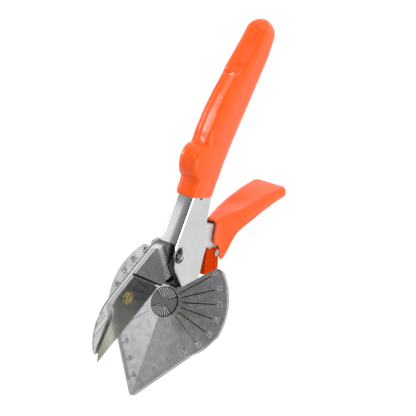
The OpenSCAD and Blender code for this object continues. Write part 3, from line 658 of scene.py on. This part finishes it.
def upper_grip():
    """Rings of |y/w|^p + |z/h|^p = 1 with p = 2 / 0.55 along x; w and h follow the handle's two views.

    On the upper half z gains a dome for the knob, 8.4 (1 - d^2)^0.6 (1 - |y/w|^3.4)^0.5 with
    d = (x - knob_x) / 9.4, loses a trough behind it and gains a rounded border at the trough's near side.
    A notch and a groove follow. The front is raked, and its underside is left open for the levers.
    """
    columns, squareness = 144, 0.55
    front_x, bend_x, end_x, end_run = -58, -160, -166.6, 6.6
    round_x, round_run = 159.1, 7.5
    knob_x, knob_run, knob_height = -77.4, 9.4, 8.4
    trough_depth, border_height, notch_depth, groove_depth = 2.1, 0.9, 1.2, 0.55
    lip_depth, rake_depth, rake_run = 0.7, 5.0, 14
    least = 0.02
    quarter = np.linspace(0.1, 1.0, 16) * np.pi / 2
    x = np.concatenate([np.linspace(front_x, bend_x, 205), end_x + end_run * (1 - np.sin(quarter))])
    top = smooth_keys(x, [(-166.6, 5.4), (-162, 6.8), (-156, 8.1), (-148, 10), (-137, 13.8), (-117, 20.0),
                          (-106, 22.4), (-95, 23.2), (-88, 22.2), (-68, 20), (-58, 19.4)], 2.0)
    low = smooth_keys(x, [(-166.6, -7.4), (-162, -8.3), (-156, -8.9), (-148, -9.1), (-119, -5.9),
                          (-95, -2.5), (-81, -0.7), (-70, -0.9), (-65, -1.5), (-58, -1.6)], 2.0)
    half = smooth_keys(x, [(-166.6, 6.2), (-162, 6.7), (-156, 7), (-145, 7.5), (-95, 7.9), (-77, 8.2),
                           (-64, 7.5), (-58, 7.7)], 2.0)
    end = np.sqrt(np.clip(1 - np.clip((-x - round_x) / round_run, 0, 1) ** 2, 0, 1))
    mid, tall = (top + low) / 2, (top - low) / 2
    tall, half = np.maximum(tall * end, least), np.maximum(half * end, least)
    lip = lip_depth * ease(x, -60.5, front_x) ** 2
    tall, half = tall - lip, half - lip
    a = (np.arange(columns) + 0.5) / columns * 2 * np.pi
    c, s = [np.sign(v) * np.abs(v) ** squareness for v in (np.cos(a), np.sin(a))]
    y = half[:, None] * c
    z = mid[:, None] + tall[:, None] * s
    up = ease(s, 0.2, 0.95)
    knob = knob_height * np.clip(1 - ((x - knob_x) / knob_run) ** 2, 0, 1) ** 0.6
    z = z + knob[:, None] * np.clip(1 - np.abs(y / (half[:, None] + 0.3)) ** 3.4, 0, 1) ** 0.5 * up
    reach = ease(x, -132.5, -128.5) * (1 - ease(x, -91.0, -86.0))
    trough = (0.3 + 0.7 * ease(y, -7.5, -4.2)) * (1 - ease(y, -2.2, 4.2))
    border = np.exp(-((y - 4.6) / 1.7) ** 2)
    z = z - reach[:, None] * up * (trough_depth * trough - border_height * border)
    notch = np.exp(-((x + 133.8) / 2.2) ** 2)[:, None] * np.exp(-((y - 2.4) / 2.2) ** 2)
    groove = (1 - ease(x, -139.0, -136.0))[:, None] * np.exp(-((y - 3.2) / 0.5) ** 2) * end[:, None]
    z = z - up * (notch_depth * notch + groove_depth * groove)
    rake = rake_depth * np.clip(1 + (x - front_x) / rake_run, 0, None)
    points = np.stack([x[:, None] - rake[:, None] * (1 - s) / 2, y, z], axis=-1).reshape(-1, 3)
    opening = (x[:-1, None] > -72.4) & (np.abs(y[:-1]) < 4.6) & (s < 0)
    piece = surface("moulded_upper_grip", points, grid_faces(len(x), columns, keep=~opening), ORANGE)
    thicken(piece, 1.3)
    return piece


grip = upper_grip()
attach(grip, "frame")
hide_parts("upper_grip")
print("grip", len(grip.data.polygons), "faces")

# %% [markdown]
# ## The lower grip
# The lower handle is a flared channel under the same kind of dip. Its rings are open below: up the near wall,
# round a corner, over the back and down the far wall.

# %% Lower grip


def lower_grip():
    """Open rings along s behind the front. Half width, back and lower edge are smoothed lines through keys.

    The walls are spread between the back and the lower edge, plus the front edge's own bend, which fades
    along the handle as (1 - s / length)^4. A shallow finger dip lies in the middle of the back. The end is
    closed by rings drawn in to one point of the lower edge, so that no face there has an area of zero.
    """
    length, bend, corner = 66.5, 4.5, 4.2
    end_rings, closing_rings = 14, 4
    dip_depth, dip_at, dip_spread, end_drop = 1.1, 29, 9, 1.3
    quarter = np.linspace(0.08, 1, end_rings) * np.pi / 2
    s = np.concatenate([np.linspace(0, length - bend, 96), length - bend * (1 - np.sin(quarter))])

    def half_at(place):
        e = np.clip(place - length + bend, 0, bend)
        wide = smooth_keys(place, [(-10, 4.3), (3.4, 4.3), (10, 6.9), (20, 9.4), (30, 10.6), (45, 11.2),
                                   (80, 11.9)], 2.0)
        return wide - bend + np.sqrt(bend ** 2 - e ** 2)

    e = np.clip(s - length + bend, 0, bend) / bend
    back = smooth_keys(s, [(0, 0), (24, 0), (40, 1.2), (50, 1.3), (60, 0.8), (70, -0.2)], 5.0)
    back = back - end_drop * (1 - np.sqrt(1 - e ** 2))
    half = half_at(s)
    low_x = smooth_keys(s, [(0, -4.8), (4.5, -6.8), (8, -8.9), (11, -11.3), (15, -15), (80, -80)], 1.0)
    low_z = smooth_keys(-low_x, [(4, -26.3), (5.6, -26.1), (8, -22.8), (11, -17.3), (15, -12.3), (20, -9.8),
                                 (30, -7.4), (40, -5.8), (50, -4.7), (80, -3.6)], 1.0)
    r = np.minimum(np.minimum(corner, 0.55 * half), 0.6 * (back - low_z))
    low_x[-end_rings - 1:] = -s[-end_rings - 1:]
    front = np.array([[0, back[0] - r[0]], [1.8, -8.3], [2, -13], [-1.5, -16], [-3.6, -18], [-3.6, -23],
                      [low_x[0], low_z[0]]])
    run = np.concatenate([[0], np.cumsum(np.hypot(*np.diff(front, axis=0).T))])
    t = np.linspace(0, 1, 22)
    edge = np.stack([np.interp(t, run / run[-1], line) for line in front.T])
    chord = np.stack([t * low_x[0], (1 - t) * (back[0] - r[0]) + t * low_z[0]])
    fade = ((1 - s / length) ** 4)[:, None]
    wall_x = (1 - t) * -s[:, None] + t * low_x[:, None] + fade * (edge - chord)[0]
    wall_z = (1 - t) * (back - r)[:, None] + t * low_z[:, None] + fade * (edge - chord)[1]
    wall_y = half_at(-wall_x)
    a = np.linspace(0, np.pi / 2, 9)[1:]
    bend_y = (half - r)[:, None] + r[:, None] * np.cos(a)
    bend_z = (back - r)[:, None] + r[:, None] * np.sin(a)
    across = np.linspace(1, -1, 25)[1:-1]
    top_y = (half - r)[:, None] * across
    dip = dip_depth * np.exp(-((s - dip_at) / dip_spread) ** 2)
    top_z = back[:, None] - dip[:, None] * (1 - across ** 2)
    flat = np.ones(len(a) * 2 + len(across))
    x = np.concatenate([wall_x[:, ::-1], -s[:, None] * flat, wall_x], axis=1)
    y = np.concatenate([wall_y[:, ::-1], bend_y, top_y, -bend_y[:, ::-1], -wall_y], axis=1)
    z = np.concatenate([wall_z[:, ::-1], bend_z, top_z, bend_z[:, ::-1], wall_z], axis=1)
    close = np.linspace(0, 1, closing_rings + 1)[1:, None]
    x = np.concatenate([x, np.repeat(x[-1:], closing_rings, axis=0)])
    y = np.concatenate([y, y[-1:] * (1 - close)])
    z = np.concatenate([z, z[-1:] * (1 - close) + low_z[-1] * close])
    c, d = math.cos(LOW_TURN), math.sin(LOW_TURN)
    points = np.stack([LOW_START[0] + x * c - z * d, y, LOW_START[1] + x * d + z * c], axis=-1)
    piece = surface("moulded_lower_grip", points.reshape(-1, 3), grid_faces(*x.shape, closed=False), ORANGE)
    thicken(piece, 1.25)
    return piece


low_grip = lower_grip()
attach(low_grip, "blade_lever")
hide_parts("lower_grip")
print("lower grip", len(low_grip.data.polygons), "faces")

# %% [markdown]
# ## The return spring
# A torsion spring winds up as the handles close. Here its coil and rear leg stay with the upper lever, and
# its front leg turns with the blade lever. The leg takes a short stretch of coil with it, so that no gap
# opens between them. The coil itself keeps its shape.

# %% Return spring
COIL_R, COIL_PITCH, COIL_Y, WIRE_R, REAR_LEG = 5.45, 1.55, 1.47, 0.5, 15.0
COIL_START, COIL_END, LEG_OVERLAP = 90.0 + math.degrees(OPEN), 810.0, 38  # degrees
COIL_SHRINK = 0.97  # the coil is a little thinner, so that the leg's stretch of coil covers it
WIRE_SIDES, WIRE_TIP = 12, 0.01


def coil_points(start, end, count):
    """Points of the coil between two angles in degrees: a circle in x and z that creeps along y."""
    a = np.linspace(start, end, count)
    x = PIVOT[0] / MM + COIL_R * np.cos(np.radians(a))
    y = COIL_Y - COIL_PITCH * (a - COIL_START) / 360
    z = PIVOT[2] / MM + COIL_R * np.sin(np.radians(a))
    return np.stack([x, y, z], axis=-1)


def opened(points):
    """Points given along the edge, across and above it, put where the open blade lever has them."""
    u, y, n = np.array(points).T
    c, d = math.cos(OPEN), math.sin(OPEN)
    return np.stack([PIVOT[0] / MM + u * c - n * d, y, PIVOT[2] / MM + u * d + n * c], axis=-1)


def wire(name, path, radius, body):
    """A round wire along a path with its corners cut, of rings p + r (cos a side - sin a up).

    The first and last ring shrink to WIRE_TIP, which closes the ends.
    """
    for _ in range(2):
        cuts = np.stack([0.75 * path[:-1] + 0.25 * path[1:], 0.25 * path[:-1] + 0.75 * path[1:]], axis=1)
        path = np.concatenate([path[:1], cuts.reshape(-1, 3), path[-1:]])
    along = np.gradient(path, axis=0)
    along = along / np.linalg.norm(along, axis=1, keepdims=True)
    side = np.array([0.0, 1.0, 0.0]) - along[:, 1:2] * along
    side = side / np.linalg.norm(side, axis=1, keepdims=True)
    up = np.cross(along, side)
    path, side, up = [np.concatenate([v[:1], v, v[-1:]]) for v in (path, side, up)]
    size = np.full(len(path), radius)
    size[[0, -1]] = WIRE_TIP
    a = np.arange(WIRE_SIDES) * 2 * np.pi / WIRE_SIDES
    round_it = np.cos(a)[:, None] * side[:, None] - np.sin(a)[:, None] * up[:, None]
    rings = path[:, None] + size[:, None, None] * round_it
    piece = surface(name, rings.reshape(-1, 3), grid_faces(len(path), len(a)), WIRE)
    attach(piece, body)
    print(name, len(piece.data.polygons), "faces")
    return piece


turns = coil_points(COIL_START, COIL_END, 60)
rear = turns[-1] - np.array([[3.0, 0.0, 0.0], [REAR_LEG, 0.0, 0.0]])
coil = wire("spring_coil", np.concatenate([turns, rear]), COIL_SHRINK * WIRE_R, "frame")
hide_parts("return_spring")
front = opened([(10.9, 0.3, 13.2), (6.4, 1.2, 6.8), (5.2, 1.38, 5.8), (3.8, COIL_Y, COIL_R)])
stretch = coil_points(COIL_START, COIL_START + LEG_OVERLAP, 5)
wire("spring_leg", np.concatenate([front, stretch]), WIRE_R, "blade_lever")

# %% [markdown]
# ## Numbers, ticks and shoulders
# The protractor's numbers are text objects turned into meshes. Each wing slopes gently down from the ridge,
# so a mark is first drawn flat and then tilted about the X axis onto its wing. A small swell leads each
# wing's round rim into the straight front edge.

# %% Marks and shoulders on the casting
WING = math.radians(4.5)
FRONT_EDGE = math.radians(52.4)
FRONT_OUT = np.array([math.cos(FRONT_EDGE), math.sin(FRONT_EDGE)])
FRONT_RUN = np.array([math.sin(FRONT_EDGE), -math.cos(FRONT_EDGE)])
DARK_LIFT, HIGHLIGHT_LIFT = 0.03, 0.05
# The dark copy of a near-wing mark is shifted by this much, so that its edge shows as a painted shadow.
SHADOW_SHIFT = np.array([0.3, -0.2])
DARK, LIGHT = 0, 1  # the two materials of the marks


def on_wing(points, side, lift):
    """Flat drawing places in millimetres put on a wing: side 1 is the near wing, -1 the far one."""
    x, y = points[..., 0], points[..., 1]
    drop = -np.abs(y) * math.sin(WING)
    return np.stack([x, side * np.abs(y) * math.cos(WING), drop + lift], axis=-1)


def number_mesh(text, height):
    """The flat mesh of a number, centred on the origin, as points and faces."""
    curve = bpy.data.curves.new("number", "FONT")
    curve.body = text
    curve.size = height * 1.4
    curve.align_x = "CENTER"
    curve.align_y = "CENTER"
    curve.resolution_u = 3
    curve.offset = 0.02 * height
    holder = bpy.data.objects.new("number", curve)
    bpy.context.scene.collection.objects.link(holder)
    bpy.context.view_layer.update()
    flat = bpy.data.meshes.new_from_object(holder.evaluated_get(bpy.context.evaluated_depsgraph_get()))
    points = np.zeros(len(flat.vertices) * 3, dtype=np.float32)
    flat.vertices.foreach_get("co", points)
    faces = [tuple(f.vertices) for f in flat.polygons]
    bpy.data.objects.remove(holder)
    return points.reshape(-1, 3)[:, :2].astype(float), faces


def marks():
    """Numbers along each angle line, dots beside them, and ruler ticks along both front edges.

    On the near wing each number and tick is a painted highlight over a dark copy a little to the side,
    whose edge shows as a painted shadow.
    """
    number_height, number_width, ruler_height = 3.2, 0.8, 2.2
    dot_radius, dot_gap = 0.42, 3.1
    ruler_reach, ruler_start, ruler_number_gap, tick_half = 33.2, 3.0, 5.0, 0.2
    points, faces, fills, count = [], [], [], 0

    def add(flat, side, shapes, fill, lift=DARK_LIFT):
        nonlocal count
        points.append(on_wing(flat, side, lift))
        faces.extend([tuple(v + count for v in (f if side > 0 else f[::-1])) for f in shapes])
        fills.extend([fill] * len(shapes))
        count += len(flat)

    def stamp(flat, side, shapes):
        if side > 0:
            # The shifted dark copy shows a painted shadow, and the copy on top a painted highlight.
            add(flat + SHADOW_SHIFT, side, shapes, DARK)
            add(flat, side, shapes, LIGHT, HIGHLIGHT_LIFT)
        else:
            add(flat, side, shapes, DARK)

    def angle_numbers(side):
        for angle, text in zip(range(135, 44, -15), ("45", "60", "75", "90", "75", "60", "45")):
            reach = 33.4 if angle > 60 else 32.3
            out = np.array([math.cos(math.radians(angle)), math.sin(math.radians(angle))])
            read = out if side > 0 else -out
            rise = np.array([-read[1], read[0]]) * side
            shape, shape_faces = number_mesh(text, number_height)
            across, up = number_width * shape[:, :1] * read, shape[:, 1:] * rise
            stamp(reach * out + across + up, side, shape_faces)
            dot = dot_radius * np.array([[math.cos(v), math.sin(v)] for v in np.arange(8) * math.pi / 4])
            add((reach - dot_gap) * out + dot, side, [tuple(range(8))], DARK)

    def ruler(side):
        for k in range(32):
            long = 3.4 if k % 10 == 0 else 2.7 if k % 5 == 0 else 1.9
            base = FRONT_OUT * ruler_reach + FRONT_RUN * (k + ruler_start)
            box = np.array([[0, -tick_half], [-long, -tick_half], [-long, tick_half], [0, tick_half]])
            stamp(base + box[:, :1] * FRONT_OUT + box[:, 1:] * FRONT_RUN, side, [(0, 1, 2, 3)])
            if k % 10 == 0 and k:
                shape, shape_faces = number_mesh(str(k), ruler_height)
                across, up = shape[:, :1] * FRONT_RUN * side, shape[:, 1:] * FRONT_OUT
                stamp(base - ruler_number_gap * FRONT_OUT + across + up, side, shape_faces)

    for side in (1, -1):
        angle_numbers(side)
        ruler(side)
    mesh = bpy.data.meshes.new("scale_marks")
    mesh.from_pydata((np.concatenate(points) * MM).tolist(), [], faces)
    mesh.materials.append(MARKS)
    mesh.materials.append(PAINTED_HIGHLIGHT)
    mesh.polygons.foreach_set("material_index", np.array(fills, dtype=np.int32))
    piece = bpy.data.objects.new("scale_marks", mesh)
    bpy.context.scene.collection.objects.link(piece)
    return piece


def wing_shoulder(side):
    """The swell where a wing's round rim runs out along the straight front edge.

    Along the edge, w goes from 0 at the rim's corner to 1. The swell is sin(pi w), squared past the middle.
    Each ring goes from the edge over the wing's slope, down the rim and back under it.
    """
    swell, start, end = 1.25, -15.05, 6.0
    inner_reach, edge_reach = 33.75, 33.8
    rim_deep, rim_rise = -5.0, 1.2
    w = np.linspace(0, 1, 40)
    bulge = swell * np.where(w < 0.5, np.sin(np.pi * w), np.sin(np.pi * w) ** 2)
    place = (start + (end - start) * w)[:, None] * FRONT_RUN
    inner = place + inner_reach * FRONT_OUT
    outer = place + (edge_reach + bulge)[:, None] * FRONT_OUT
    top_in, top_out = on_wing(inner, side, 0.0), on_wing(outer, side, 0.0)
    low_out, low_in = top_out.copy(), top_in.copy()
    low_out[:, 2] = low_in[:, 2] = rim_deep + rim_rise * ease(w, 0.4, 1.0)
    rings = np.stack([top_in, top_out, low_out, low_in], axis=1)
    rings = rings if side < 0 else rings[:, ::-1]
    name = "wing_shoulder_near" if side > 0 else "wing_shoulder_far"
    piece = surface(name, rings.reshape(-1, 3), grid_faces(len(w), 4), CAST)
    piece.data.set_sharp_from_angle(angle=SHARP_ANGLE)
    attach(piece, "frame")
    return piece


print("shoulders", [wing_shoulder(side).name for side in (1, -1)])
scale_marks = marks()
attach(scale_marks, "frame")
print("marks", len(scale_marks.data.polygons), "faces")
